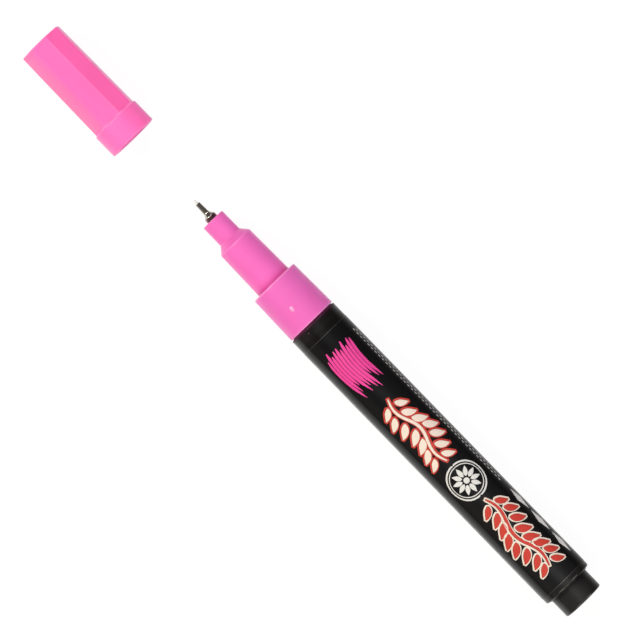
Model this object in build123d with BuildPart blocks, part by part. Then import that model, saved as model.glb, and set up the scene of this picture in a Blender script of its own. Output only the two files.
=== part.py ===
"""Liquid chalk marker lying on its side, with its cap pulled off in line with the nib.

All sizes are in millimetres. X runs along the pen towards the nib, with X = 0 at the seam between
the barrel and the front section. The pen rests on its label, whose lowest line is at Z = 0.
"""

import math
import os

from build123d import *

os.makedirs("parts", exist_ok=True)

# Clearances
snug = 0.05
slide_clearance = 0.08
stop_gap = 0.1

# Barrel and its label film
barrel_length = 88.27
barrel_diameter = 13.68
barrel_wall = 1.1
barrel_front_round = 0.4
barrel_rear_round = 0.5
seam_gap = 0.25
seam_depth = 0.6
film_thickness = 0.05
film_gap = 0.01
film_front_margin = 4.54
film_rear_margin = 1.68

# Tail plug
tail_post_inset = 1.34
tail_post_length = 5.53
tail_base_step = 0.35
tail_base_length = 0.25
tail_edge_round = 0.45
tail_spigot_length = 6.8
tail_wall = 1.1

# Front section, from the seam forwards
collar_length = 13.05
collar_inset = 0.075
collar_draft = 0.23
collar_round = 0.4
step_round_share = 0.45
nose_length = 13.26
nose_rear_diameter = 9.83
nose_front_diameter = 9.4
nose_wall = 0.95
cone_length = 1.86
cone_setback = 0.6
tip_length = 5.97
tip_wall = 0.75
tip_draft = 0.025
tip_front_wall = 1.2
shoulder_wall = 1.3
edge_round = 0.22
spigot_length = 7.0
spigot_wall = 0.75
bead_height = 0.2
bead_length = 0.9
pip_radius = 1.6
pip_height = 0.14
pip_root = 0.3
pip_place = 5.4
pip_turn = 11.5

# Valve
housing_wall = 0.7
housing_flange = 1.2
housing_front_wall = 1.2
seat_opening = 3.0
seal_thickness = 0.9
head_flow_gap = 1.3
stem_head_thickness = 1.3
stem_rod_diameter = 1.9
stem_guide_diameter = 1.6
stem_overrun = 0.6
stem_clear = 1.3
valve_chamber_length = 11.6
retainer_thickness = 1.6
retainer_lip = 0.2
retainer_lip_length = 0.6
port_margin = 0.3
port_count = 4
spring_wire = 0.4
spring_diameter = 3.0
spring_turns = 6

# Tip unit, which is pressed in to pump ink
press_travel = 1.1
carrier_wall = 0.67
carrier_tail_wall = 0.75
carrier_end_wall = 0.8
carrier_flange = 1.2
carrier_flange_setback = 1.0
carrier_flange_gap = 0.2
notch_diameter = 1.2
notch_count = 4
window_width = 1.0
window_margin = 1.2
wick_diameter = 2.1
wick_seat_depth = 3.3
wick_chamfer = 0.2
sleeve_diameter = 3.1
sleeve_seat_depth = 3.1
sleeve_flange = 1.06
sleeve_flange_round = 0.25
flare_length = 1.01
flare_round = 0.7
pipe_length = 3.19
pipe_rear_diameter = 1.5
pipe_front_diameter = 1.3
pipe_edge_round = 0.06
nib_diameter = 0.9
nib_point_length = 1.32
nib_point_width = 0.26
nib_point_round = 0.12

# Mixing ball, lying in the barrel
ball_diameter = 5.0
ball_place = 45.0
ball_end_gap = 0.2

# Cap
cap_off_gap = 20.72
cap_wall_base = 0.95
cap_wall_end = 0.73
cap_flat_count = 8
cap_flat_turn = 6.5
cap_corner_round = 0.6
cap_end_wall = 1.0
cap_end_round = 0.35
skirt_wall = 0.88
skirt_step_wall = 0.78
skirt_shoulder_round = 0.55
skirt_mouth_round = 0.35
mouth_chamfer = 0.25
post_room = 0.2
nib_room = 2.62
liner_wall = 0.9
liner_end_wall = 0.9
liner_mouth_gap = 0.6
liner_tip_room = 0.8
liner_pocket_diameter = 4.4
liner_base_length = 2.0
liner_rib_count = 6
liner_rib_width = 0.8
liner_mouth_chamfer = 0.3

# Radii and stations that follow from the sizes above: barrel, film and tail
barrel_radius = barrel_diameter / 2
barrel_bore = barrel_radius - barrel_wall
neck_radius = barrel_radius - seam_depth
film_inside = barrel_radius + film_gap
film_outside = film_inside + film_thickness
axis_height = film_outside
plug_radius = barrel_bore - snug
plug_front = -barrel_length + tail_spigot_length
post_radius = barrel_radius - tail_post_inset
plug_bore = min(plug_radius, post_radius) - tail_wall
tail_end = -barrel_length - tail_post_length

# Front section
spigot_radius = barrel_bore - snug
housing_seat = spigot_radius - spigot_wall
collar_rear_radius = barrel_radius - collar_inset
collar_front_radius = collar_rear_radius - collar_draft
nose_rear_radius = nose_rear_diameter / 2
collar_step = collar_front_radius - nose_rear_radius
collar_front_round = min(collar_round, collar_step * step_round_share)
nose_root_round = min(edge_round, collar_step * step_round_share)
nose_front_radius = nose_front_diameter / 2
nose_front = collar_length + nose_length
tip_rear = nose_front + cone_length
tip_front = tip_rear + tip_length
sleeve_radius = sleeve_diameter / 2
sleeve_fit = sleeve_radius + snug
carrier_radius = sleeve_fit + carrier_wall
guide_bore = carrier_radius + slide_clearance
tip_front_radius = guide_bore + tip_wall
tip_rear_radius = tip_front_radius + tip_draft
tip_hole = sleeve_radius + slide_clearance
carrier_stop = tip_front - tip_front_wall
chamber_radius = nose_front_radius - nose_wall
chamber_front = nose_front - cone_setback
guide_rear = tip_rear - cone_setback
chamber_rear = collar_length - shoulder_wall
bead_middle = -spigot_length / 2

# Valve
housing_radius = housing_seat - snug
valve_bore = housing_radius - housing_wall
housing_front = chamber_rear - stop_gap
housing_rear = -spigot_length - housing_flange
seat_face = housing_front - housing_front_wall
seal_rear = seat_face - seal_thickness
head_rear = seal_rear - stem_head_thickness
head_radius = valve_bore - head_flow_gap
retainer_front = seat_face - valve_chamber_length
retainer_rear = retainer_front - retainer_thickness
retainer_radius = valve_bore - snug
stem_front = housing_front + press_travel + stem_clear
stem_rear = retainer_rear - stem_overrun
spring_radius = spring_diameter / 2
spring_outside = spring_radius + spring_wire / 2
spring_front = head_rear - spring_wire / 2 - snug
spring_rear = retainer_front + spring_wire / 2 + snug
port_circle = (spring_outside + retainer_radius) / 2
port_radius = (retainer_radius - spring_outside) / 2 - port_margin

# Tip unit
carrier_front = carrier_stop - stop_gap
sleeve_rear = carrier_front - sleeve_seat_depth
flange_front = tip_front + sleeve_flange
pipe_rear = flange_front + flare_length
pipe_front = pipe_rear + pipe_length
nib_point = pipe_front + nib_point_length
nib_radius = nib_diameter / 2
wick_radius = wick_diameter / 2
wick_fit = wick_radius + snug
wick_front = sleeve_rear + wick_seat_depth
wick_rear = stem_front + carrier_end_wall
carrier_tail = wick_fit + carrier_tail_wall
carrier_flange_radius = chamber_radius - carrier_flange_gap
carrier_flange_front = chamber_front - carrier_flange_setback
carrier_flange_rear = carrier_flange_front - carrier_flange

# Mixing ball
ball_radius = ball_diameter / 2
ball_drop = barrel_bore - ball_radius - snug
ball_forward = ball_place + housing_rear - ball_radius - ball_end_gap
ball_back = -ball_place - plug_front - ball_radius - ball_end_gap

# Cap, first as it lies pulled off
post_depth = tail_post_length + post_room
nose_grip_radius = nose_rear_radius + (nose_front_radius - nose_rear_radius) * post_depth / nose_length
cap_bore = nose_grip_radius + slide_clearance
skirt_bore = max(post_radius, nose_rear_radius) + slide_clearance
skirt_radius = skirt_bore + skirt_wall
cap_mouth = nib_point + cap_off_gap
cap_travel = cap_mouth - collar_length - stop_gap
cap_floor = nib_point + nib_room + liner_end_wall + cap_travel
cap_end = cap_floor + cap_end_wall
cap_shoulder = cap_mouth + post_depth + skirt_step_wall
liner_mouth = tip_rear + liner_mouth_gap + cap_travel
liner_seal_end = tip_front + liner_tip_room + cap_travel
liner_bore = tip_rear_radius + slide_clearance
liner_radius = liner_bore + liner_wall
liner_outside = cap_bore - snug

# The pen axis, the plane that half profiles are drawn in and the planes across the pen
pen_axis = Axis((0, 0, axis_height), (1, 0, 0))
profile_plane = Plane(origin=(0, 0, axis_height), x_dir=(1, 0, 0), z_dir=(0, -1, 0))
level_plane = Plane(origin=(0, 0, axis_height), x_dir=(1, 0, 0), z_dir=(0, 0, 1))


def across(station):
    """Plane square to the pen axis at a station, with its local Y pointing up."""
    return Plane(origin=(station, 0, axis_height), x_dir=(0, 1, 0), z_dir=(1, 0, 0))


def turned(points, rounds=()):
    """Half profile of a turned piece from (station, radius) points.

    rounds lists (point number, radius) for the corners that are rounded.
    """
    with BuildSketch(profile_plane) as half:
        with BuildLine():
            Polyline(*points, close=True)
        make_face()
        for number, radius in rounds:
            corner = half.vertices().sort_by_distance(points[number])[0]
            fillet(corner, radius)
    return half.sketch


def cap_section(station, flat_radius):
    """Section of the cap's tube: flats all round with rounded corners, one flat nearly on top."""
    with BuildSketch(across(station)) as section:
        RegularPolygon(
            flat_radius,
            cap_flat_count,
            major_radius=False,
            rotation=90 - cap_flat_turn + 180 / cap_flat_count,
        )
        fillet(section.vertices(), cap_corner_round)
    return section.sketch


# Barrel: a plain tube with a groove inside for the front section's snap bead. A short neck in front
# meets the collar and leaves an open groove behind it.
with BuildPart() as barrel:
    revolve(
        turned(
            [
                (-barrel_length, barrel_bore),
                (-barrel_length, barrel_radius),
                (-seam_gap, barrel_radius),
                (-seam_gap, neck_radius),
                (0, neck_radius),
                (0, barrel_bore),
            ],
            rounds=[(1, barrel_rear_round), (2, barrel_front_round)],
        ),
        axis=pen_axis,
    )
    groove_half = bead_length / 2 + snug
    revolve(
        turned(
            [
                (bead_middle - groove_half, barrel_bore - snug),
                (bead_middle - groove_half, barrel_bore + bead_height),
                (bead_middle + groove_half, barrel_bore + bead_height),
                (bead_middle + groove_half, barrel_bore - snug),
            ]
        ),
        axis=pen_axis,
        mode=Mode.SUBTRACT,
    )
barrel.part.label = "barrel"
export_step(barrel.part, "parts/barrel.step")

# Label film: a thin sleeve that leaves a band of the barrel bare at each end
with BuildPart() as label_film:
    revolve(
        turned(
            [
                (-barrel_length + film_rear_margin, film_inside),
                (-barrel_length + film_rear_margin, film_outside),
                (-film_front_margin, film_outside),
                (-film_front_margin, film_inside),
            ]
        ),
        axis=pen_axis,
    )
label_film.part.label = "label_film"
export_step(label_film.part, "parts/label_film.step")

# Tail plug: a hollow spigot in the barrel, a low base ring and the post that the cap fits on
with BuildPart() as tail_plug:
    revolve(
        turned(
            [
                (tail_end, 0),
                (tail_end, post_radius),
                (-barrel_length - tail_base_length, post_radius),
                (-barrel_length - tail_base_length, post_radius + tail_base_step),
                (-barrel_length, post_radius + tail_base_step),
                (-barrel_length, plug_radius),
                (plug_front, plug_radius),
                (plug_front, plug_bore),
                (tail_end + tail_wall, plug_bore),
                (tail_end + tail_wall, 0),
            ],
            rounds=[(1, tail_edge_round), (3, tail_base_length / 2), (6, tail_edge_round)],
        ),
        axis=pen_axis,
    )
tail_plug.part.label = "tail_plug"
export_step(tail_plug.part, "parts/tail_plug.step")

# Front section: spigot with its snap bead, collar, nose, cone and tip in one moulding
with BuildPart() as front_section:
    revolve(
        turned(
            [
                (-spigot_length, housing_seat),
                (-spigot_length, spigot_radius),
                (bead_middle - bead_length / 2, spigot_radius),
                (bead_middle, spigot_radius + bead_height),
                (bead_middle + bead_length / 2, spigot_radius),
                (0, spigot_radius),
                (0, collar_rear_radius),
                (collar_length, collar_front_radius),
                (collar_length, nose_rear_radius),
                (nose_front, nose_front_radius),
                (tip_rear, tip_rear_radius),
                (tip_front, tip_front_radius),
                (tip_front, tip_hole),
                (carrier_stop, tip_hole),
                (carrier_stop, guide_bore),
                (guide_rear, guide_bore),
                (chamber_front, chamber_radius),
                (chamber_rear, chamber_radius),
                (chamber_rear, housing_seat),
            ],
            rounds=[
                (6, edge_round),
                (7, collar_front_round),
                (8, nose_root_round),
                (9, edge_round),
                (11, edge_round),
            ],
        ),
        axis=pen_axis,
    )
    # The moulding pip is a low dome on the collar, rooted a little way into its wall
    pip_seat = collar_rear_radius - collar_draft * pip_place / collar_length
    pip_top = pip_seat + pip_height
    pip_base = math.degrees(math.asin((pip_radius - pip_height - pip_root) / pip_radius))
    pip_angle = math.radians(pip_turn)
    pip_point = (pip_place, pip_top * math.sin(pip_angle), axis_height + pip_top * math.cos(pip_angle))
    with Locations(Location(pip_point, (-pip_turn, 0, 0))):
        Sphere(pip_radius, arc_size1=pip_base, align=(Align.CENTER, Align.CENTER, Align.MAX))
front_section.part.label = "front_section"
export_step(front_section.part, "parts/front_section.step")

# Valve housing: a cup with the valve seat in front, a flange behind and a lip for the retainer
with BuildPart() as valve_housing:
    revolve(
        turned(
            [
                (housing_rear, valve_bore),
                (housing_rear, plug_radius),
                (-spigot_length, plug_radius),
                (-spigot_length, housing_radius),
                (housing_front, housing_radius),
                (housing_front, seat_opening / 2),
                (seat_face, seat_opening / 2),
                (seat_face, valve_bore),
                (retainer_rear, valve_bore),
                (retainer_rear - retainer_lip_length / 2, valve_bore - retainer_lip),
                (retainer_rear - retainer_lip_length, valve_bore),
            ],
            rounds=[(4, edge_round)],
        ),
        axis=pen_axis,
    )
valve_housing.part.label = "valve_housing"
export_step(valve_housing.part, "parts/valve_housing.step")

# Valve seal: a soft washer against the housing's front wall
with BuildPart() as valve_seal:
    revolve(
        turned(
            [
                (seal_rear, seat_opening / 2),
                (seal_rear, retainer_radius),
                (seat_face, retainer_radius),
                (seat_face, seat_opening / 2),
            ]
        ),
        axis=pen_axis,
    )
valve_seal.part.label = "valve_seal"
export_step(valve_seal.part, "parts/valve_seal.step")

# Valve stem: guide rod, poppet head on the seal, and the rod that the carrier pushes
with BuildPart() as valve_stem:
    revolve(
        turned(
            [
                (stem_rear, 0),
                (stem_rear, stem_guide_diameter / 2),
                (head_rear, stem_guide_diameter / 2),
                (head_rear, head_radius),
                (seal_rear, head_radius),
                (seal_rear, stem_rod_diameter / 2),
                (stem_front, stem_rod_diameter / 2),
                (stem_front, 0),
            ],
            rounds=[(1, edge_round), (3, edge_round), (6, edge_round)],
        ),
        axis=pen_axis,
    )
valve_stem.part.label = "valve_stem"
export_step(valve_stem.part, "parts/valve_stem.step")

# Valve spring: one coil between the retainer and the poppet head
with BuildPart() as valve_spring:
    spring_length = spring_front - spring_rear
    with BuildLine() as coil:
        Helix(
            pitch=spring_length / spring_turns,
            height=spring_length,
            radius=spring_radius,
            center=(spring_rear, 0, axis_height),
            direction=(1, 0, 0),
        )
    with BuildSketch(Plane(origin=coil.line @ 0, z_dir=coil.line % 0)):
        Circle(spring_wire / 2)
    sweep(is_frenet=True)
valve_spring.part.label = "valve_spring"
export_step(valve_spring.part, "parts/valve_spring.step")

# Spring retainer: a disc with a guide hole and ports for the ink
with BuildPart() as spring_retainer:
    revolve(
        turned(
            [
                (retainer_rear, stem_guide_diameter / 2 + slide_clearance),
                (retainer_rear, retainer_radius),
                (retainer_front, retainer_radius),
                (retainer_front, stem_guide_diameter / 2 + slide_clearance),
            ],
            rounds=[(2, edge_round)],
        ),
        axis=pen_axis,
    )
    with BuildSketch(across(retainer_rear)):
        with PolarLocations(port_circle, port_count):
            Circle(port_radius)
    extrude(amount=retainer_thickness, mode=Mode.SUBTRACT)
spring_retainer.part.label = "spring_retainer"
export_step(spring_retainer.part, "parts/spring_retainer.step")

# Nib carrier: slides in the tip, holds the sleeve, and reaches back to the valve stem
with BuildPart() as nib_carrier:
    revolve(
        turned(
            [
                (stem_front, 0),
                (stem_front, carrier_tail),
                (carrier_flange_rear, carrier_tail),
                (carrier_flange_rear, carrier_flange_radius),
                (carrier_flange_front, carrier_flange_radius),
                (carrier_flange_front, carrier_radius),
                (carrier_front, carrier_radius),
                (carrier_front, sleeve_fit),
                (sleeve_rear, sleeve_fit),
                (sleeve_rear, wick_fit),
                (wick_rear, wick_fit),
                (wick_rear, 0),
            ],
            rounds=[(1, edge_round), (6, edge_round)],
        ),
        axis=pen_axis,
    )
    # Ink windows along the tail, through both sides of both planes
    window_rear = wick_rear + window_margin
    window_front = carrier_flange_rear - window_margin
    for plane in (profile_plane, level_plane):
        with BuildSketch(plane):
            with Locations(((window_rear + window_front) / 2, 0)):
                SlotOverall(window_front - window_rear, window_width)
        extrude(amount=carrier_tail + snug, both=True, mode=Mode.SUBTRACT)
    # Notches that let ink past the flange
    with BuildSketch(across(carrier_flange_rear)):
        with PolarLocations(carrier_flange_radius, notch_count):
            Circle(notch_diameter / 2)
    extrude(amount=carrier_flange, mode=Mode.SUBTRACT)
nib_carrier.part.label = "nib_carrier"
export_step(nib_carrier.part, "parts/nib_carrier.step")

# Feed wick: a fibre rod from the carrier's tail to the back of the nib
with BuildPart() as feed_wick:
    revolve(
        turned(
            [
                (wick_rear, 0),
                (wick_rear, wick_radius - wick_chamfer),
                (wick_rear + wick_chamfer, wick_radius),
                (wick_front - wick_chamfer, wick_radius),
                (wick_front, wick_radius - wick_chamfer),
                (wick_front, 0),
            ]
        ),
        axis=pen_axis,
    )
feed_wick.part.label = "feed_wick"
export_step(feed_wick.part, "parts/feed_wick.step")

# Nib sleeve: metal body, the flange that stands out of the tip, the flare and the pipe
with BuildPart() as nib_sleeve:
    revolve(
        turned(
            [
                (sleeve_rear, wick_fit),
                (sleeve_rear, sleeve_radius),
                (flange_front, sleeve_radius),
                (pipe_rear, pipe_rear_diameter / 2),
                (pipe_front, pipe_front_diameter / 2),
                (pipe_front, nib_radius + snug),
                (wick_front, nib_radius + snug),
                (wick_front, wick_fit),
            ],
            rounds=[(2, sleeve_flange_round), (3, flare_round), (4, pipe_edge_round)],
        ),
        axis=pen_axis,
    )
nib_sleeve.part.label = "nib_sleeve"
export_step(nib_sleeve.part, "parts/nib_sleeve.step")

# Nib: a needle with a blunt rounded point
with BuildPart() as nib:
    revolve(
        turned(
            [
                (wick_front, 0),
                (wick_front, nib_radius),
                (pipe_front, nib_radius),
                (nib_point, nib_point_width / 2),
                (nib_point, 0),
            ],
            rounds=[(3, nib_point_round)],
        ),
        axis=pen_axis,
    )
nib.part.label = "nib"
export_step(nib.part, "parts/nib.step")

# Mixing ball: lies on the floor of the barrel's bore
with BuildPart() as mixing_ball:
    with Locations((-ball_place, 0, axis_height - ball_drop)):
        Sphere(ball_radius)
mixing_ball.part.label = "mixing_ball"
export_step(mixing_ball.part, "parts/mixing_ball.step")

# Cap shell: tapered tube with flats, round skirt, and a stepped bore for the tail post and the nose
with BuildPart() as cap_shell:
    tube_base = cap_section(cap_shoulder - skirt_shoulder_round, cap_bore + cap_wall_base)
    tube_end = cap_section(cap_end, cap_bore + cap_wall_end)
    loft([tube_base, tube_end], ruled=True)
    fillet(cap_shell.faces().sort_by(Axis.X)[-1].edges(), cap_end_round)
    revolve(
        turned(
            [
                (cap_mouth, 0),
                (cap_mouth, skirt_radius),
                (cap_shoulder, skirt_radius),
                (cap_shoulder, 0),
            ],
            rounds=[(1, skirt_mouth_round), (2, skirt_shoulder_round)],
        ),
        axis=pen_axis,
    )
    revolve(
        turned(
            [
                (cap_mouth, 0),
                (cap_mouth, skirt_bore + mouth_chamfer),
                (cap_mouth + mouth_chamfer, skirt_bore),
                (cap_mouth + post_depth, skirt_bore),
                (cap_mouth + post_depth, cap_bore),
                (cap_floor, cap_bore),
                (cap_floor, 0),
            ]
        ),
        axis=pen_axis,
        mode=Mode.SUBTRACT,
    )
cap_shell.part.label = "cap_shell"
export_step(cap_shell.part, "parts/cap_shell.step")

# Inner cap: a soft liner that closes over the tip, held in the shell by its base ring and ribs
with BuildPart() as inner_cap:
    revolve(
        turned(
            [
                (liner_mouth, liner_bore + liner_mouth_chamfer),
                (liner_mouth, liner_radius),
                (cap_floor - liner_base_length, liner_radius),
                (cap_floor - liner_base_length, liner_outside),
                (cap_floor, liner_outside),
                (cap_floor, 0),
                (cap_floor - liner_end_wall, 0),
                (cap_floor - liner_end_wall, liner_pocket_diameter / 2),
                (liner_seal_end + liner_wall, liner_pocket_diameter / 2),
                (liner_seal_end, liner_bore),
                (liner_mouth + liner_mouth_chamfer, liner_bore),
            ]
        ),
        axis=pen_axis,
    )
    rib_height = liner_outside - liner_radius + liner_wall / 2
    with BuildSketch(across(liner_seal_end)):
        with PolarLocations(liner_outside - rib_height / 2, liner_rib_count):
            Rectangle(rib_height, liner_rib_width)
        Circle(liner_outside, mode=Mode.INTERSECT)
    extrude(amount=cap_floor - liner_base_length - liner_seal_end)
inner_cap.part.label = "inner_cap"
export_step(inner_cap.part, "parts/inner_cap.step")

print(f"cap travel to the seat {cap_travel:.3f}, nib press {press_travel:.3f}")
print(f"ball travel {ball_back:.3f} back to {ball_forward:.3f}")
print(f"pen length {nib_point - tail_end:.3f}, cap length {cap_end - cap_mouth:.3f}")
print(f"reach from {tail_end:.3f} to {cap_end:.3f}, axis height {axis_height:.3f}")
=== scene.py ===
"""Looks of the liquid chalk marker: finishes, label print, valve spring, studio light and camera."""

import math

import bmesh
import bpy
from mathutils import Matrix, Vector


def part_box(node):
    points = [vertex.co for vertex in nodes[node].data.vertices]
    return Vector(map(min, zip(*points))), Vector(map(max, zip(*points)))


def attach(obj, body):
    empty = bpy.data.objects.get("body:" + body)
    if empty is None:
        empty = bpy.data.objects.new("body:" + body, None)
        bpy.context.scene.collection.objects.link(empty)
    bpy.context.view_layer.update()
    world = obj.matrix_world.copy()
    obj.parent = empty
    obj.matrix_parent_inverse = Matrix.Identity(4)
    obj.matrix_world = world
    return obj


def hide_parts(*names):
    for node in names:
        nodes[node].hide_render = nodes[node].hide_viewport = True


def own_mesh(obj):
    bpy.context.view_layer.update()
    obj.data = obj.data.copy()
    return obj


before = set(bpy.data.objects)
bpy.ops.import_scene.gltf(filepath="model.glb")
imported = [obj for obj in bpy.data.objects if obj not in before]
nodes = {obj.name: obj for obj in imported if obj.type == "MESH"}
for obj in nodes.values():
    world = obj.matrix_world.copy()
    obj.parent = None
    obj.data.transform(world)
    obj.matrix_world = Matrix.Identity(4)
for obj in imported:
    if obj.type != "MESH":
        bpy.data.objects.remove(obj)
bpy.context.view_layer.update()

MM = 0.001
scene = bpy.context.scene

# Places read from the frame, in metres
film_low, film_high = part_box("label_film")
coil_low, coil_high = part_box("valve_spring")
axis_z = (film_low.z + film_high.z) / 2
film_radius = (film_high.z - film_low.z) / 2

# The metal sleeve's flange ends this far behind the sleeve's front
sleeve_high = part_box("nib_sleeve")[1]
flange_front = sleeve_high.x - 4.2 * MM

# Places of painted highlights on rims: both edges of the collar, the nose's front edge and the rim of the
# cap's skirt
collar_rear = 0.05 * MM
collar_rim = 12.88 * MM
nose_rim = 26.25 * MM
cap_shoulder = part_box("cap_shell")[0].x + 6.9 * MM
skirt_rim = cap_shoulder - 0.42 * MM

# The bores of the cap's skirt and tube
skirt_bore = 5.58 * MM
tube_bore = 4.90 * MM

# Photograph: seen from straight above, with the pen lying across the frame
view_turn = math.radians(225.79)
view_centre = Vector((-1.15 * MM, -1.63 * MM, axis_z))
view_width = 153.82 * MM
view_distance = 1.7
sensor_width = 36.0


def on_pen(station, reach, turn):
    """A place along the pen, that far out from its axis, and turned from the top towards +Y."""
    return Vector((station, reach * math.sin(turn), axis_z + reach * math.cos(turn)))


# The moulding pip on the collar, and a small brownish spot on the barrel near its front end
pip_place = on_pen(5.4 * MM, 6.8 * MM, math.radians(11.5))
fleck_place = on_pen(-1.6 * MM, 6.85 * MM, math.radians(22.3))


class Shading:
    """A node tree with short ways to add nodes to it."""

    def __init__(self, tree):
        self.tree = tree

    def add(self, kind, inputs=(), **settings):
        """A node with its settings and inputs; an input is a value or another node's output."""
        made = self.tree.nodes.new(kind)
        for key, value in settings.items():
            setattr(made, key, value)
        for key, value in dict(inputs).items():
            if isinstance(value, bpy.types.NodeSocket):
                self.tree.links.new(value, made.inputs[key])
            else:
                made.inputs[key].default_value = value
        return made

    def math(self, operation, first, second=0.0):
        return self.add("ShaderNodeMath", {0: first, 1: second}, operation=operation).outputs[0]

    def span(self, value, low, high, to_low, to_high):
        """A value mapped from one span to another, and held at its ends."""
        made = self.add(
            "ShaderNodeMapRange",
            {"Value": value, "From Min": low, "From Max": high, "To Min": to_low, "To Max": to_high},
        )
        return made.outputs["Result"]

    def hump(self, value, width):
        """A share that falls from 1 at 0 to a half at that width on either side, and on towards 0."""
        squared = self.math("POWER", self.math("ABSOLUTE", self.math("DIVIDE", value, width)), 2.0)
        return self.math("DIVIDE", 1.0, self.math("ADD", squared, 1.0))

    def mix(self, share, first, second):
        """Two shaders mixed by a share from 0 to 1."""
        return self.add("ShaderNodeMixShader", {0: share, 1: first, 2: second}).outputs[0]


class Finish(Shading):
    """A material whose nodes are read from the part's own coordinates, in metres."""

    def __init__(self, name):
        self.material = bpy.data.materials.new(name)
        self.material.use_nodes = True
        super().__init__(self.material.node_tree)
        self.shader = self.tree.nodes["Principled BSDF"]
        self.place = self.add("ShaderNodeTexCoord").outputs["Object"]

    def set(self, **values):
        """Sets or links sockets of the shader, with _ for the spaces in their names."""
        for key, value in values.items():
            socket = self.shader.inputs[key.replace("_", " ")]
            if isinstance(value, bpy.types.NodeSocket):
                self.tree.links.new(value, socket)
            else:
                socket.default_value = value

    def stretch(self, along, across):
        """Coordinates scaled apart along the pen and across it."""
        scale = (along, across, across)
        return self.add("ShaderNodeMapping", {"Vector": self.place, "Scale": scale}).outputs[0]

    def noise(self, size, detail=3.0, roughness=0.55, place=None):
        """Noise from 0 to 1 whose features are about that size, in metres."""
        made = self.add(
            "ShaderNodeTexNoise",
            {"Vector": place or self.place, "Scale": 1 / size, "Detail": detail, "Roughness": roughness},
        )
        return made.outputs["Fac"]

    def blend(self, share, first, second):
        """Two colours mixed by a share from 0 to 1."""
        made = self.add("ShaderNodeMix", data_type="RGBA")
        pairs = (("Factor_Float", share), ("A_Color", first), ("B_Color", second))
        for key, value in pairs:
            socket = next(s for s in made.inputs if s.identifier == key)
            if isinstance(value, bpy.types.NodeSocket):
                self.tree.links.new(value, socket)
            elif isinstance(value, tuple):
                socket.default_value = (*value, 1.0)
            else:
                socket.default_value = value
        return next(s for s in made.outputs if s.identifier == "Result_Color")

    def bump(self, height, depth, strength=1.0, under=None):
        """A normal roughened by a height from 0 to 1 that stands for that depth, in metres."""
        inputs = {"Height": height, "Distance": depth, "Strength": strength}
        if under is not None:
            inputs["Normal"] = under
        return self.add("ShaderNodeBump", inputs).outputs["Normal"]

    def edges(self, radius, sharpness):
        """Share from 0 to 1 that marks the edges, within a radius in metres."""
        rounded = self.add("ShaderNodeBevel", {"Radius": radius}, samples=6).outputs[0]
        facing = self.add("ShaderNodeNewGeometry").outputs["Normal"]
        alike = self.add("ShaderNodeVectorMath", {0: rounded, 1: facing}, operation="DOT_PRODUCT")
        return self.span(alike.outputs["Value"], 1.0, 1.0 - sharpness, 0.0, 1.0)

    def hollows(self, reach):
        """Share from 0 to 1 that grows into corners where another wall stands within reach, in metres."""
        open_share = self.add("ShaderNodeAmbientOcclusion", {"Distance": reach}, samples=12).outputs["AO"]
        return self.span(open_share, 0.95, 0.5, 0.0, 1.0)

    def turn(self):
        """Angle round the pen's axis from the top towards +Y, in radians."""
        height = self.math("SUBTRACT", self.axis("Z"), axis_z)
        return self.math("ARCTAN2", self.axis("Y"), height)

    def reach(self):
        """Distance from the pen's axis, in metres."""
        height = self.math("SUBTRACT", self.axis("Z"), axis_z)
        across = self.math("POWER", self.axis("Y"), 2.0)
        up = self.math("POWER", height, 2.0)
        return self.math("SQRT", self.math("ADD", across, up))

    def band(self, station, half_width):
        """Share from 0 to 1 that marks a narrow band round the pen at a station along it, in metres."""
        off = self.math("ABSOLUTE", self.math("SUBTRACT", self.axis("X"), station))
        return self.span(off, 1.5 * half_width, 0.5 * half_width, 0.0, 1.0)

    def away(self, place, along):
        """Distance from a place, in metres, with lengths along the pen scaled."""
        scaled = (along * place.x, place.y, place.z)
        drawn = self.stretch(along, 1.0)
        made = self.add("ShaderNodeVectorMath", {0: drawn, 1: scaled}, operation="DISTANCE")
        return made.outputs["Value"]

    def axis(self, letter):
        """One coordinate, in metres."""
        return self.add("ShaderNodeSeparateXYZ", {0: self.place}).outputs[letter]


def on_tube(f):
    """1 on the cap's tube and 0 on its skirt."""
    return f.math("GREATER_THAN", f.axis("X"), cap_shoulder)


def cap_outside(f):
    """Share from 0 to 1 that leaves out the bores of the cap's tube and skirt."""
    bore = f.span(on_tube(f), 0, 1, skirt_bore, tube_bore)
    return f.span(f.math("SUBTRACT", f.reach(), bore), 0.05 * MM, 0.45 * MM, 0, 1)


def cap_painted_highlights(f):
    """Share from 0 to 1 of painted highlight on the corners between the cap's flats, most on the far
    side, and on its rim.
    """
    flats, first, half_width = 8, math.radians(28.5), math.radians(3.0)
    turn = f.turn()
    wave = f.math("COSINE", f.math("MULTIPLY", f.math("SUBTRACT", turn, first), flats))
    lines = f.span(wave, math.cos(flats * half_width), 1.0, 0, 1)
    # Painted highlight on the creases, stronger on top and on the far side than on the near side
    crease_highlight_share = f.span(turn, math.radians(0), math.radians(25), 0.18, 0.05)
    creases = f.math("MULTIPLY", f.math("MULTIPLY", lines, crease_highlight_share), on_tube(f))
    # Painted highlight on the rim of the skirt
    rim = f.math("MULTIPLY", f.band(skirt_rim, 0.25 * MM), 0.4)
    return f.math("MULTIPLY", f.math("MAXIMUM", creases, rim), cap_outside(f))


def front_painted_highlights(f):
    """Share from 0 to 1 of painted highlight at both edges of the collar and, most on top, at the nose's
    front edge.
    """
    # Painted highlights on the collar's edges and, strongest on top, on the nose's front edge
    front = f.math("MULTIPLY", f.band(collar_rim, 0.2 * MM), 0.5)
    rear = f.math("MULTIPLY", f.band(collar_rear, 0.18 * MM), 0.9)
    collar = f.math("MAXIMUM", front, rear)
    upper = f.span(f.hump(f.turn(), 0.25), 0, 1, 0.1, 0.55)
    nose = f.math("MULTIPLY", f.band(nose_rim, 0.2 * MM), upper)
    return f.math("MAXIMUM", collar, nose)


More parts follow.
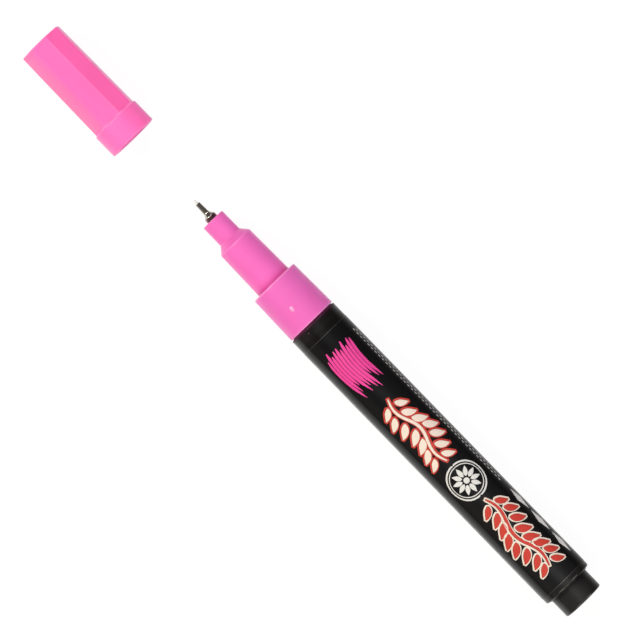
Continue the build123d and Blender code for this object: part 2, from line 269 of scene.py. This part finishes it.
def pink_plastic(f, deep, pale, painted_highlights, inner, lean, fade, glow):
    """Semi-gloss pink moulding: flow marks, a fine skin, painted shade in corners, painted highlights on
    paler edges and on the pip, and a painted red glow.

    painted_highlights and inner are the shares of painted edge highlight and of edge paleness kept in
    inner corners; lean, fade and glow are the shares of thin wall, of painted warm light and of painted
    red glow.
    """
    flow = f.noise(5 * MM, 3, 0.5, f.stretch(0.35, 1.0))
    body = f.blend(f.span(flow, 0.3, 0.7, 0, 1), deep, pale)
    specks = f.span(f.noise(0.5 * MM, 2), 0.62, 0.74, 0, 0.15)
    mottled = f.blend(specks, body, tuple(min(1.0, 1.12 * c) for c in pale))
    thinned = f.blend(lean, mottled, (0.97, 0.0, 0.14))
    # Painted warm light: the near side of the cap's tube is made paler and warmer
    warm_lit = f.blend(fade, thinned, (1.0, 0.50, 0.42))
    # Painted shade: corners where another wall stands close are darkened
    hollow = f.hollows(2.6 * MM)
    shaded = f.blend(hollow, warm_lit, (0.66, 0.045, 0.33))
    # Painted highlights: edges are made paler, less so in inner corners
    corners = f.math("MULTIPLY", f.edges(0.30 * MM, 0.05), f.span(hollow, 0.02, 0.15, 0.8, inner))
    pale_edges = f.math("MAXIMUM", corners, painted_highlights)
    edged = f.blend(pale_edges, shaded, (1.0, 0.36, 0.74))
    # Painted highlight on the pip, drawn as a pale ragged spot round it
    torn = f.span(f.noise(0.5 * MM, 2), 0.3, 0.7, -0.06 * MM, 0.06 * MM)
    ragged = f.math("ADD", f.away(pip_place, 0.6), torn)
    pip_highlight = f.span(ragged, 0.56 * MM, 0.20 * MM, 0, 0.6)
    skin = f.bump(f.noise(0.22 * MM, 2), 0.004 * MM, 0.3)
    gloss = f.span(f.noise(1.4 * MM, 3), 0.3, 0.7, 0.285, 0.33)
    f.set(
        Base_Color=f.blend(pip_highlight, edged, (1.0, 0.60, 0.85)),
        Roughness=f.math("SUBTRACT", gloss, f.math("MULTIPLY", pip_highlight, 0.15)),
        Normal=f.bump(flow, 0.02 * MM, 0.5, skin),
        IOR=1.5,
        Subsurface_Weight=0.12,
        Subsurface_Radius=(1.0, 0.25, 0.5),
        Subsurface_Scale=0.8 * MM,
        # Painted red glow: the pink emits light of its own
        Emission_Color=(1.0, 0.02, 0.10, 1.0),
        Emission_Strength=f.math("MULTIPLY", f.span(flow, 0.3, 0.7, 0.9, 1.1), glow),
    )
    return f.material


def pink_front():
    """Pink of the front section, with a faint painted red glow in front of the collar."""
    f = Finish("pink_front")
    # Painted red glow in front of the collar
    glow = f.span(f.axis("X"), collar_rim - 0.2 * MM, collar_rim + 0.4 * MM, 0.0, 0.04)
    return pink_plastic(
        f,
        deep=(0.86, 0.150, 0.540),
        pale=(0.89, 0.165, 0.585),
        painted_highlights=front_painted_highlights(f),
        inner=0.0,
        lean=0.0,
        fade=0.0,
        glow=glow,
    )


def pink_cap():
    """Pink of the cap, brighter than the front section, with a painted red glow outside that is strongest
    on top, painted warm light on the near side of its tube, and leaner in its thin tube.
    """
    f = Finish("pink_cap")
    lean = f.math("MULTIPLY", on_tube(f), 0.09)
    # Painted warm light on the near (+Y) side of the tube
    near_side_light = f.span(f.turn(), math.radians(25), math.radians(65), 0.0, 0.16)
    fade = f.math("MULTIPLY", on_tube(f), near_side_light)
    # Painted red glow, stronger on top than at the sides
    lit = f.span(f.math("ABSOLUTE", f.turn()), math.radians(60), math.radians(75), 0.17, 0.06)
    glow = f.math("MULTIPLY", cap_outside(f), lit)
    return pink_plastic(
        f,
        deep=(0.97, 0.170, 0.540),
        pale=(0.99, 0.185, 0.580),
        painted_highlights=cap_painted_highlights(f),
        inner=0.8,
        lean=lean,
        fade=fade,
        glow=glow,
    )


def black_plastic():
    """Glossy black barrel: drawn lines, handling marks, paler edges, a duller front rim, a fleck, and a
    painted reflection of the pink collar at its front end and in the groove.
    """
    f = Finish("black_plastic")
    station = f.axis("X")
    drawn = f.noise(0.35 * MM, 2, 0.5, f.stretch(0.03, 1.0))
    cloud = f.noise(3 * MM, 4)
    scuffs = f.span(f.noise(0.3 * MM, 3, 0.6, f.stretch(0.25, 1.0)), 0.66, 0.80, 0, 0.5)
    body = f.blend(f.span(cloud, 0.3, 0.7, 0, 1), (0.0042, 0.0031, 0.0029), (0.0056, 0.0042, 0.0039))
    scuffed = f.blend(scuffs, body, (0.013, 0.011, 0.010))
    pale_edges = f.math("MULTIPLY", f.edges(0.16 * MM, 0.12), f.span(cloud, 0.35, 0.65, 0.3, 0.9))
    rimmed = f.blend(pale_edges, scuffed, (0.026, 0.023, 0.022))
    # Painted reflection of the pink collar: the barrel's front end is tinted magenta, pinker in the
    # groove
    in_groove = f.span(station, -0.35 * MM, -0.20 * MM, 0, 1)
    stain = f.blend(in_groove, (0.040, 0.0025, 0.020), (0.30, 0.020, 0.15))
    front_end_share = f.span(station, -1.3 * MM, -0.2 * MM, 0, 1)
    pink_reflected = f.blend(front_end_share, rimmed, stain)
    fleck = f.span(f.away(fleck_place, 1.0), 0.34 * MM, 0.10 * MM, 0, 1)
    dull_rim = f.span(station, -0.9 * MM, -0.5 * MM, 0, 0.35)
    smeared = f.math("MULTIPLY", f.band(-3.9 * MM, 0.9 * MM), 0.17)
    dimmed = f.math("MAXIMUM", f.math("MULTIPLY", front_end_share, 0.30), smeared)
    f.set(
        Base_Color=f.blend(fleck, pink_reflected, (0.055, 0.033, 0.034)),
        Roughness=f.math("ADD", f.span(cloud, 0.3, 0.7, 0.10, 0.17), dull_rim),
        Specular_IOR_Level=f.math("SUBTRACT", 0.5, dimmed),
        Normal=f.bump(drawn, 0.003 * MM, 0.4),
        IOR=1.5,
    )
    return f.material


def label_film():
    """Glossy black film: slight orange peel, hairline scratches and paler cut ends, partly a painted
    highlight that is brightest on top.
    """
    f = Finish("label_film")
    station = f.axis("X")
    cut = 0.08 * MM
    front = f.math("GREATER_THAN", station, film_high.x - cut)
    rear = f.math("LESS_THAN", station, film_low.x + cut)
    chipped = f.span(f.noise(4 * MM, 2), 0.30, 0.70, 0.5, 1.0)
    # Paler cut ends: partly the film's whitish cut edge, partly a painted highlight that is brightest on
    # top
    upper = f.hump(f.turn(), 0.30)
    front_share = f.math("MULTIPLY", front, f.span(upper, 0, 1, 0.25, 0.55))
    rear_share = f.math("MULTIPLY", rear, f.span(upper, 0, 1, 0.05, 0.95))
    ends = f.math("MULTIPLY", f.math("ADD", front_share, rear_share), chipped)
    peel = f.noise(1.1 * MM, 2, 0.4)
    cloud = f.noise(7 * MM, 3)
    hairs = f.span(f.noise(0.12 * MM, 2, 0.5, f.stretch(0.05, 1.0)), 0.70, 0.82, 0, 0.35)
    body = f.blend(f.span(cloud, 0.3, 0.7, 0, 1), (0.0028, 0.0024, 0.0028), (0.0040, 0.0035, 0.0040))
    scratched = f.blend(hairs, body, (0.009, 0.008, 0.009))
    f.set(
        Base_Color=f.blend(ends, scratched, (0.24, 0.23, 0.22)),
        Roughness=f.span(cloud, 0.3, 0.7, 0.08, 0.14),
        Normal=f.bump(peel, 0.006 * MM, 0.35),
        IOR=1.42,
    )
    return f.material


def tail_plastic():
    """Satin black plug with a fine spark-eroded texture, paler edges and painted shade at its root."""
    f = Finish("tail_plastic")
    grain = f.noise(0.16 * MM, 3, 0.6)
    cloud = f.noise(2.5 * MM, 3)
    pale_edges = f.math("MULTIPLY", f.edges(0.15 * MM, 0.12), 0.6)
    body = f.blend(f.span(cloud, 0.3, 0.7, 0, 1), (0.0060, 0.0054, 0.0052), (0.0095, 0.0084, 0.0080))
    # Painted shade at the plug's root next to the barrel: colour and specular are dimmed there
    root = f.hollows(2.6 * MM)
    shaded = f.blend(root, f.blend(pale_edges, body, (0.05, 0.046, 0.044)), (0.002, 0.0018, 0.0018))
    f.set(
        Base_Color=shaded,
        Specular_IOR_Level=f.span(root, 0, 0.9, 0.5, 0.1),
        Roughness=f.span(cloud, 0.3, 0.7, 0.23, 0.268),
        Normal=f.bump(grain, 0.004 * MM, 0.4),
        IOR=1.5,
    )
    return f.material


def tip_metal():
    """Bright nickel: turning rings, a brown tarnish, and a painted reflection of the pink nose, in
    maroon, on the flange where it enters the tip.
    """
    f = Finish("tip_metal")
    rings = f.noise(0.10 * MM, 2, 0.5, f.stretch(1.0, 0.02))
    tarnish = f.span(f.noise(0.7 * MM, 3), 0.40, 0.70, 0, 0.8)
    nickel = f.blend(tarnish, (0.66, 0.61, 0.56), (0.50, 0.40, 0.33))
    # Painted reflection of the pink nose: the flange is tinted maroon
    pink_reflected = f.span(f.axis("X"), flange_front, flange_front - 0.3 * MM, 0, 0.85)
    f.set(
        Base_Color=f.blend(pink_reflected, nickel, (0.36, 0.12, 0.17)),
        Metallic=1.0,
        Roughness=f.span(tarnish, 0, 0.8, 0.07, 0.13),
        Normal=f.bump(rings, 0.002 * MM, 0.15),
    )
    return f.material


def nib_plastic():
    """Pale extruded needle with fine streaks along it."""
    f = Finish("nib_plastic")
    streaks = f.noise(0.12 * MM, 3, 0.5, f.stretch(0.08, 1.0))
    f.set(
        Base_Color=f.blend(f.span(streaks, 0.3, 0.7, 0, 1), (0.86, 0.86, 0.88), (0.72, 0.72, 0.74)),
        Roughness=f.span(streaks, 0.3, 0.7, 0.34, 0.46),
        Normal=f.bump(streaks, 0.004 * MM, 0.4),
        Subsurface_Weight=0.15,
        Subsurface_Radius=(1.0, 0.9, 0.8),
        Subsurface_Scale=0.3 * MM,
    )
    return f.material


def milky_plastic(name, pale, deep, roughness):
    """Unpigmented moulding, cloudy in its depth."""
    f = Finish(name)
    cloud = f.noise(2 * MM, 4)
    skin = f.noise(0.25 * MM, 2)
    f.set(
        Base_Color=f.blend(f.span(cloud, 0.3, 0.7, 0, 1), pale, deep),
        Roughness=f.span(skin, 0.3, 0.7, roughness - 0.06, roughness + 0.06),
        Normal=f.bump(skin, 0.004 * MM, 0.5),
        Subsurface_Weight=0.25,
        Subsurface_Radius=(1.0, 0.95, 0.85),
        Subsurface_Scale=0.6 * MM,
    )
    return f.material


def wick_fibre():
    """Bonded fibre rod, streaked along its length."""
    f = Finish("wick_fibre")
    strands = f.noise(0.14 * MM, 3, 0.6, f.stretch(0.04, 1.0))
    f.set(
        Base_Color=f.blend(f.span(strands, 0.3, 0.7, 0, 1), (0.82, 0.80, 0.76), (0.60, 0.58, 0.54)),
        Roughness=f.span(strands, 0.3, 0.7, 0.8, 0.95),
        Normal=f.bump(strands, 0.04 * MM, 0.8),
    )
    return f.material


def seal_rubber():
    """Dark moulded rubber with a dusty bloom."""
    f = Finish("seal_rubber")
    bloom = f.noise(0.6 * MM, 4)
    f.set(
        Base_Color=f.blend(f.span(bloom, 0.35, 0.7, 0, 1), (0.022, 0.021, 0.021), (0.055, 0.052, 0.050)),
        Roughness=f.span(bloom, 0.3, 0.7, 0.62, 0.82),
        Normal=f.bump(f.noise(0.2 * MM, 2), 0.01 * MM, 0.5),
    )
    return f.material


def bright_steel(name, line_size, depth, roughness):
    """Steel with fine drawing or grinding lines."""
    f = Finish(name)
    lines = f.noise(line_size, 3, 0.6)
    stain = f.span(f.noise(1.5 * MM, 3), 0.5, 0.75, 0, 0.6)
    f.set(
        Base_Color=f.blend(stain, (0.64, 0.64, 0.65), (0.48, 0.46, 0.44)),
        Metallic=1.0,
        Roughness=f.span(lines, 0.3, 0.7, roughness, roughness + 0.1),
        Normal=f.bump(lines, depth, 0.4),
    )
    return f.material


def print_ink(name, thick, thin):
    """Screen-printed ink: a little uneven, with pin holes."""
    f = Finish(name)
    lay = f.noise(0.5 * MM, 3)
    holes = f.span(f.noise(0.16 * MM, 2), 0.70, 0.78, 0, 0.5)
    even = f.blend(f.span(lay, 0.3, 0.7, 0, 1), thick, thin)
    f.set(
        Base_Color=f.blend(holes, even, tuple(0.45 * c for c in thin)),
        Roughness=f.span(lay, 0.3, 0.7, 0.28, 0.42),
        Normal=f.bump(lay, 0.003 * MM, 0.4),
        IOR=1.5,
    )
    return f.material


def dress_cad_nodes():
    """Gives every solid of the frame its finish."""
    natural = milky_plastic("natural_plastic", (0.80, 0.80, 0.77), (0.70, 0.70, 0.66), 0.42)
    finishes = {
        "barrel": black_plastic(),
        "label_film": label_film(),
        "tail_plug": tail_plastic(),
        "front_section": pink_front(),
        "cap_shell": pink_cap(),
        "inner_cap": milky_plastic("liner_plastic", (0.84, 0.84, 0.82), (0.75, 0.75, 0.72), 0.50),
        "valve_housing": natural,
        "valve_stem": natural,
        "spring_retainer": natural,
        "nib_carrier": natural,
        "valve_seal": seal_rubber(),
        "feed_wick": wick_fibre(),
        "nib_sleeve": tip_metal(),
        "nib": nib_plastic(),
        "mixing_ball": bright_steel("ball_steel", 0.3 * MM, 0.002 * MM, 0.06),
    }
    for name, finish in finishes.items():
        nodes[name].material_slots[0].material = finish


def add_piece(name, points, faces, material):
    """A mesh piece that rides on the pen, with its faces turned outwards."""
    mesh = bpy.data.meshes.new(name)
    mesh.from_pydata(points, [], faces)
    outwards = bmesh.new()
    outwards.from_mesh(mesh)
    bmesh.ops.recalc_face_normals(outwards, faces=outwards.faces)
    outwards.to_mesh(mesh)
    outwards.free()
    mesh.materials.append(material)
    piece = bpy.data.objects.new(name, mesh)
    scene.collection.objects.link(piece)
    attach(piece, "pen")
    return piece


def valve_spring():
    """Coil with closed ends, built at its free length; the real spring shortens as the nib is pressed in.
    """
    wire = 0.2 * MM
    coil_radius = (coil_high.z - coil_low.z) / 2 - wire
    active_turns = 6
    closed_turns = 1.25
    steps_per_turn = 36
    sides = 12
    turns = active_turns + 2 * closed_turns
    rings = round(turns * steps_per_turn)
    closed_pitch = 2.1 * wire
    free_length = coil_high.x - coil_low.x - 2 * wire
    active_pitch = (free_length - 2 * closed_turns * closed_pitch) / active_turns
    points, faces = [], []
    for ring in range(rings + 1):
        turn = turns * ring / rings
        rear = min(turn, closed_turns)
        middle = min(max(turn - closed_turns, 0), active_turns)
        front = max(turn - closed_turns - active_turns, 0)
        station = coil_low.x + wire + (rear + front) * closed_pitch + middle * active_pitch
        angle = 2 * math.pi * turn
        outward = Vector((0, math.sin(angle), math.cos(angle)))
        centre = Vector((station, 0, axis_z)) + coil_radius * outward
        for side in range(sides):
            around = 2 * math.pi * side / sides
            aside = math.cos(around) * outward + math.sin(around) * Vector((1, 0, 0))
            points.append(centre + wire * aside)
    for ring in range(rings):
        for side in range(sides):
            after = (side + 1) % sides
            first, second = ring * sides, (ring + 1) * sides
            faces.append((first + side, first + after, second + after, second + side))
    faces.append(tuple(range(sides)))
    faces.append(tuple(range(rings * sides, (rings + 1) * sides)))
    steel = bright_steel("spring_steel", 0.08 * MM, 0.004 * MM, 0.2)
    spring = add_piece("valve_spring_coil", points, faces, steel)
    spring.data.shade_smooth()
    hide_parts("valve_spring")
    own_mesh(spring)


class Ink:
    """Printed shapes of one colour: thin slabs wrapped on the film.

    A place on the film is (back, round), in millimetres: how far behind the film's front edge, and how
    far round from the top line towards +Y.
    """

    sink = 0.005 * MM
    cell = 0.4

    def __init__(self, thickness=0.015):
        self.lift = thickness * MM
        self.points = []
        self.faces = []

    def wrap(self, place, height):
        back, around = place
        return on_pen(film_high.x - back * MM, film_radius + height, around * MM / film_radius)

    def patch(self, rows, closed=False):
        """A slab over rows of places; closed joins the last row to the first."""
        start, count, width = len(self.points), len(rows), len(rows[0])
        under = count * width
        for height in (self.lift, -self.sink):
            self.points += [self.wrap(place, height) for row in rows for place in row]
        steps = count if closed else count - 1

        def at(row, column):
            return start + row % count * width + column

        for row in range(steps):
            for column in range(width - 1):
                corners = (
                    at(row, column),
                    at(row, column + 1),
                    at(row + 1, column + 1),
                    at(row + 1, column),
                )
                self.faces.append(corners)
                self.faces.append(tuple(under + corner for corner in reversed(corners)))
            for column in (0, width - 1):
                first, second = at(row, column), at(row + 1, column)
                self.faces.append((first, second, under + second, under + first))
        for row in () if closed else (0, count - 1):
            for column in range(width - 1):
                first, second = at(row, column), at(row, column + 1)
                self.faces.append((first, second, under + second, under + first))

    def stroke(self, spine, halves):
        """A band along a spine of places, with its half width at each."""
        cells = max(1, math.ceil(2 * max(halves) / self.cell))
        left, right = sides_of(spine, halves)
        rows = []
        for a, b in zip(left, right):
            rows.append([a + (b - a) * step / cells for step in range(cells + 1)])
        self.patch(rows)

    def outline(self, spine, halves, gap, line):
        """A closed line round a band, that far from it and that wide."""
        inner = loop_round(spine, halves, gap)
        outer = loop_round(spine, halves, gap + line)
        self.patch(list(zip(inner, outer)), closed=True)

    def finish(self, name, thick, thin):
        add_piece(name, self.points, self.faces, print_ink(name, thick, thin))


def sides_of(spine, halves):
    """The two sides of a band along a spine."""
    left, right = [], []
    for number, (place, half) in enumerate(zip(spine, halves)):
        ahead = spine[min(number + 1, len(spine) - 1)] - spine[max(number - 1, 0)]
        square = Vector((-ahead.y, ahead.x)).normalized()
        left.append(place + half * square)
        right.append(place - half * square)
    return left, right


def loop_round(spine, halves, away):
    """Closed loop of places round a band, kept that far from it."""
    start = (spine[0] - spine[1]).normalized() * away
    end = (spine[-1] - spine[-2]).normalized() * away
    last = len(spine) - 1
    moved = [place + start * (1 - n / last) + end * (n / last) for n, place in enumerate(spine)]
    left, right = sides_of(moved, [half + away for half in halves])
    return left + right[::-1]


def leaf_spine(root, heading, length, bend, steps=16):
    """Spine of a leaf from its root, in a heading in degrees from the pen's tail towards +Y."""
    turn = math.radians(heading)
    along = Vector((math.cos(turn), math.sin(turn)))
    across = Vector((-along.y, along.x))
    shares = [n / steps for n in range(steps + 1)]
    return [root + length * s * along + bend * 4 * s * (1 - s) * across for s in shares]


def leaf_halves(width, steps=16):
    """Half widths of a leaf, full near its root and drawn out to its point."""
    least = 0.04
    shares = [n / steps for n in range(steps + 1)]
    return [max(least, width / 2 * math.sin(math.pi * s ** 0.8) ** 0.85) for s in shares]


def disc(centre, radius, steps=16):
    """Spine and half widths of a round spot."""
    turns = [math.pi * (0.02 + 0.96 * n / steps) for n in range(steps + 1)]
    spine = [centre + Vector((-radius * math.cos(turn), 0)) for turn in turns]
    return spine, [radius * math.sin(turn) for turn in turns]


def sprig(filled, edged, start, end, middle, swing):
    """A wavy stem with leaves on both sides, each with a line round it in the other colour."""
    steps = 60
    wave = (end - start) / 1.5
    reach = [start + (end - start) * n / steps for n in range(steps + 1)]

    def stem_at(back):
        return Vector((back, middle + swing * math.sin(2 * math.pi * (back - start) / wave)))

    stem = [stem_at(back) for back in reach]
    thickness = [0.12 + 0.26 * math.sin(math.pi * n / steps) ** 0.5 for n in range(steps + 1)]
    filled.stroke(stem, thickness)
    edged.outline(stem, thickness, 0.05, 0.30)
    leaf_length, leaf_width, stand_off, spacing = 4.3, 1.9, 1.15, 2.75
    count = round((end - start - 3) / spacing)
    for number in range(count + 1):
        root = stem_at(start + 1.2 + number * spacing)
        for side in (1, -1):
            size = 0.78 + 0.22 * math.sin(math.pi * (number + 0.5) / (count + 1))
            base = root + Vector((0.35, side * stand_off))
            spine = leaf_spine(base, side * 52, size * leaf_length, -side * 0.35)
            halves = leaf_halves(size * leaf_width)
            filled.stroke(spine, halves)
            edged.outline(spine, halves, 0.05, 0.30)


def rosette(petals_ink, rim_ink, centre):
    """Ten petals round a spot, inside two thin rings."""
    petal_count = 10
    spot_spine, spot_halves = disc(centre, 0.75)
    petals_ink.stroke(spot_spine, spot_halves)
    for number in range(petal_count):
        heading = 360 * number / petal_count
        turn = math.radians(heading)
        root = centre + 1.1 * Vector((math.cos(turn), math.sin(turn)))
        petals_ink.stroke(leaf_spine(root, heading, 2.5, 0), leaf_halves(1.15))
    for radius, line in ((4.05, 0.22), (4.65, 0.38)):
        rim_ink.outline(*disc(centre, radius, 48), 0, line)


def brush_mark(ink, start, end):
    """A broad dry-brush sweep made of bristle streaks with ragged ends."""
    streaks, pitch, steps = 10, 0.78, 40
    for number in range(streaks):
        offset = (number - (streaks - 1) / 2) * pitch
        ragged = 1.6 * math.sin(2.3 * number + 0.4) + 0.9 * math.sin(5.1 * number)
        first = start + 0.9 + 0.9 * math.sin(3.7 * number)
        last = end - 2.4 + ragged - 0.35 * abs(offset)
        spine, halves = [], []
        for n in range(steps + 1):
            back = first + (last - first) * n / steps
            lean = 0.16 * offset * (1 - (back - start) / (end - start))
            spine.append(Vector((back, offset + lean + 0.9 * math.sin((back - start) / 4.2))))
            fade = min(1.0, 4.0 * (1 - n / steps), 0.25 + 6.0 * n / steps)
            halves.append(max(0.03, 0.37 * fade ** 0.7))
        ink.stroke(spine, halves)


def rule(ink, start, end, around, half):
    """A thin straight line along the pen."""
    steps = 12
    spine = [Vector((start + (end - start) * n / steps, around)) for n in range(steps + 1)]
    ink.stroke(spine, [half] * (steps + 1))


def tick_row(ink, start, pitch, count, around, length, half):
    """A row of short strokes round the pen."""
    steps = 4
    for number in range(count):
        long = 1.6 if number % 5 == 0 else 1.0
        back = start + number * pitch
        spine = [Vector((back, around + long * length * n / steps)) for n in range(steps + 1)]
        ink.stroke(spine, [half] * (steps + 1))


def diamond_row(ink, start, pitch, count, around, length, half):
    """A row of small diamonds along the pen."""
    steps = 6
    for number in range(count):
        back = start + number * pitch
        spine = [Vector((back + length * (n / steps - 0.5), around)) for n in range(steps + 1)]
        ink.stroke(spine, [max(0.03, half * (1 - abs(2 * n / steps - 1))) for n in range(steps + 1)])


def label_print():
    """The film's print: a brush sweep, two sprigs and a rosette on top, and fine borders at the sides."""
    pink, red, white, grey = (Ink() for _ in range(4))
    cream = Ink(thickness=0.018)
    brush_mark(pink, 3.5, 19.5)
    sprig(cream, red, 21.5, 42.0, 0.0, 0.9)
    rosette(white, white, Vector((48.6, 0.0)))
    sprig(red, cream, 55.0, 77.0, 0.0, -0.9)
    for side in (1, -1):
        rule(grey, 3.5, 78.5, side * 8.9, 0.07)
        rule(grey, 3.5, 78.5, side * 9.3, 0.05)
    diamond_row(grey, 3.9, 1.25, 41, -7.05, 0.95, 0.26)
    diamond_row(grey, 4.5, 1.25, 40, -7.95, 0.95, 0.26)
    diamond_row(white, 60.6, 7.2, 3, -7.5, 6.4, 1.05)
    tick_row(grey, 4.0, 0.75, 26, -11.0, 0.9, 0.06)
    pink.finish("label_print_pink", (0.90, 0.060, 0.360), (0.82, 0.050, 0.320))
    red.finish("label_print_red", (0.63, 0.045, 0.030), (0.56, 0.040, 0.028))
    cream.finish("label_print_cream", (0.92, 0.79, 0.70), (0.84, 0.71, 0.62))
    white.finish("label_print_white", (0.80, 0.80, 0.79), (0.72, 0.72, 0.71))
    grey.finish("label_print_grey", (0.46, 0.46, 0.46), (0.36, 0.36, 0.36))


def label_seam():
    """The film's end lapped over its start, low on the far side: a thin ramp that ends in a step."""
    lap, step, parts = 3.2, 0.05 * MM, 9
    middle = -14.5
    overhang = 0.006 * MM
    places = [(middle + lap * (n / (parts - 1) - 0.5), step * n / (parts - 1)) for n in range(parts)]
    section = [(around, overhang + height) for around, height in places]
    section += [(around, -overhang) for around, height in reversed(places)]
    count = len(section)
    points, faces = [], []
    for station in (film_low.x, film_high.x):
        for around, height in section:
            points.append(on_pen(station, film_radius + height, around * MM / film_radius))
    for n in range(count):
        after = (n + 1) % count
        faces.append((n, after, count + after, count + n))
    for n in range(parts - 1):
        lower = count - 1 - n
        for end in (0, count):
            faces.append((end + n, end + n + 1, end + lower - 1, end + lower))
    add_piece("label_seam", points, faces, nodes["label_film"].material_slots[0].material)


def build_floor():
    """Pale floor, white to the camera, with a faint shadow; in reflections it dims away from the pen."""
    half = 4.0
    near_reach, far_reach = 70 * MM, 14 * MM
    mesh = bpy.data.meshes.new("floor")
    corners = [(-half, -half, 0), (half, -half, 0), (half, half, 0), (-half, half, 0)]
    mesh.from_pydata(corners, [], [(0, 1, 2, 3)])
    floor = bpy.data.objects.new("floor", mesh)
    scene.collection.objects.link(floor)
    f = Finish("floor")
    f.tree.nodes.remove(f.shader)
    path = f.add("ShaderNodeLightPath").outputs
    mirrored = f.math("MAXIMUM", path["Is Glossy Ray"], path["Is Transmission Ray"])
    seen = f.math("MAXIMUM", path["Is Camera Ray"], mirrored)
    aside = f.axis("Y")
    reach = f.span(aside, -MM, MM, far_reach, near_reach)
    dimming = f.hump(aside, reach)
    level = f.math("MULTIPLY", f.math("POWER", dimming, mirrored), 0.93)
    glow = f.add("ShaderNodeEmission", {"Strength": level}).outputs[0]
    shade = f.add("ShaderNodeBsdfDiffuse", {"Color": (0.11, 0.11, 0.11, 1)}).outputs[0]
    plain = f.add("ShaderNodeBsdfDiffuse", {"Color": (0.86, 0.86, 0.86, 1)}).outputs[0]
    white = f.add("ShaderNodeAddShader", {0: glow, 1: shade}).outputs[0]
    f.tree.links.new(f.mix(seen, plain, white), f.tree.nodes["Material Output"].inputs["Surface"])
    mesh.materials.append(f.material)


def build_world():
    """White to the camera, and else a dim room: a glow over the tail, a warm wall and a window behind."""
    world = bpy.data.worlds.new("studio")
    scene.world = world
    world.use_nodes = True
    w = Shading(world.node_tree)
    direction = w.add("ShaderNodeTexCoord").outputs["Generated"]
    heading = w.add("ShaderNodeSeparateXYZ", {0: direction}).outputs
    along = w.math("ABSOLUTE", heading["X"])
    upward = w.span(heading["Z"], 0.0, 0.4, 0.0, 1.0)
    above = w.math("MULTIPLY", w.span(along, 0.2, 0.6, 1.0, 0.0), upward)
    rearward = w.span(heading["X"], -0.06, 0.0, 1.30, 0.07)
    glow = w.math("MULTIPLY", w.math("MULTIPLY", w.hump(heading["Y"], 0.38), above), rearward)
    pale, warm = (1, 1, 1, 1), (1, 0.95, 0.80, 1)
    overhead = w.math("ADD", glow, 0.09)
    ceiling = w.add("ShaderNodeBackground", {"Color": pale, "Strength": overhead}).outputs[0]
    beside = w.span(heading["Y"], 0.55, 0.90, 0.0, 0.19)
    path = w.add("ShaderNodeLightPath").outputs
    behind = w.math("MULTIPLY", w.hump(heading["Y"], 0.18), w.span(heading["X"], -0.45, -0.65, 0.0, 2.6))
    window = w.math("MULTIPLY", behind, w.span(heading["Z"], 0.1, 0.3, 0.0, 1.0))
    sides = w.math("ADD", beside, w.math("MULTIPLY", window, path["Is Glossy Ray"]))
    wall = w.add("ShaderNodeBackground", {"Color": warm, "Strength": sides}).outputs[0]
    room = w.add("ShaderNodeAddShader", {0: ceiling, 1: wall}).outputs[0]
    white = w.add("ShaderNodeBackground", {"Color": pale}).outputs[0]
    surface = w.tree.nodes["World Output"].inputs["Surface"]
    w.tree.links.new(w.mix(path["Is Camera Ray"], room, white), surface)


def soft_light(name, azimuth, height, power, colour):
    """Square soft box a metre away that faces the pen. Azimuth is from +X towards +Y, in degrees."""
    distance, side = 1.0, 0.45
    a, e = math.radians(azimuth), math.radians(height)
    away = Vector((math.cos(e) * math.cos(a), math.cos(e) * math.sin(a), math.sin(e)))
    lamp = bpy.data.lights.new(name, "AREA")
    lamp.size = side
    lamp.energy = power
    lamp.color = colour
    holder = bpy.data.objects.new(name, lamp)
    scene.collection.objects.link(holder)
    holder.location = distance * away
    holder.rotation_euler = away.to_track_quat("Z", "Y").to_euler()


def build_lights():
    """Two warm boxes on the near side and two weaker, cooler ones on the far side, stronger in front."""
    warm = (1.0, 0.97, 0.80)
    cool = (1.0, 0.93, 0.99)
    soft_light("near_rear", 142, 40, 2.7, warm)
    soft_light("near_front", 38, 45, 5.6, warm)
    soft_light("far_rear", -142, 40, 2.2, cool)
    soft_light("far_front", -38, 45, 2.4, cool)


def build_camera():
    """Looks straight down from far away, turned so that the pen lies as it does in the photograph."""
    lens = bpy.data.cameras.new("camera")
    lens.sensor_width = sensor_width
    lens.lens = sensor_width * view_distance / view_width
    lens.clip_end = 50
    camera = bpy.data.objects.new("camera", lens)
    scene.collection.objects.link(camera)
    camera.location = view_centre + Vector((0, 0, view_distance))
    camera.rotation_euler = (0, 0, view_turn)
    scene.camera = camera


scene.view_settings.view_transform = "Standard"
dress_cad_nodes()
valve_spring()
label_print()
label_seam()
build_floor()
build_world()
build_lights()
build_camera()
